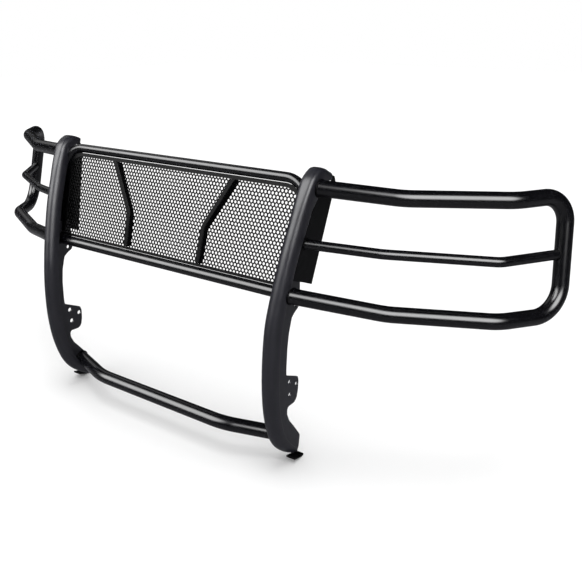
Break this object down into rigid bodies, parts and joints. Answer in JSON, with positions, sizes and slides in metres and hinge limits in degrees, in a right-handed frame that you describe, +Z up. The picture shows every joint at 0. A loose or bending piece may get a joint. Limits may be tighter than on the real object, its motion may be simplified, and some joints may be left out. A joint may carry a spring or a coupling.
{
  "type": "front grille guard",
  "caption": "Bolt-on front grille guard for a pickup: curved formed uprights, a perforated grille panel, swept tubular headlight wings and a lower crossbar.",
  "frame": {"origin": "on the ground under the middle of the overall width and depth, with the guard upright as fitted", "axes": "+X across the vehicle to its left-hand side, -Y to the front, +Z up"},
  "size_m": [2.0388, 0.501, 0.811],
  "materials": {
    "upright_coat": "semi-gloss black powder coat",
    "tube_coat": "gloss black powder coat",
    "plate_coat": "satin black powder coat",
    "mesh_coat": "satin black powder coat"
  },
  "bodies": {
    "root": {"upright_shell_left": "upright_coat", "upright_shell_right": "upright_coat", "upright_web_left": "upright_coat", "upright_web_right": "upright_coat", "side_plate_left": "plate_coat", "side_plate_right": "plate_coat", "foot_plate_left": "plate_coat", "foot_plate_right": "plate_coat", "wing_loop_tube_left": "tube_coat", "wing_loop_tube_right": "tube_coat", "wing_middle_tube_left": "tube_coat", "wing_middle_tube_right": "tube_coat", "grille_top_tube": "tube_coat", "grille_bottom_tube": "tube_coat", "lower_crossbar": "tube_coat", "mesh_panel": "mesh_coat", "mesh_top_rail": "mesh_coat", "mesh_bottom_rail": "mesh_coat", "mesh_end_rail_left": "mesh_coat", "mesh_end_rail_right": "mesh_coat", "grille_strut_left": "plate_coat", "grille_strut_right": "plate_coat"}
  },
  "joints": []
}
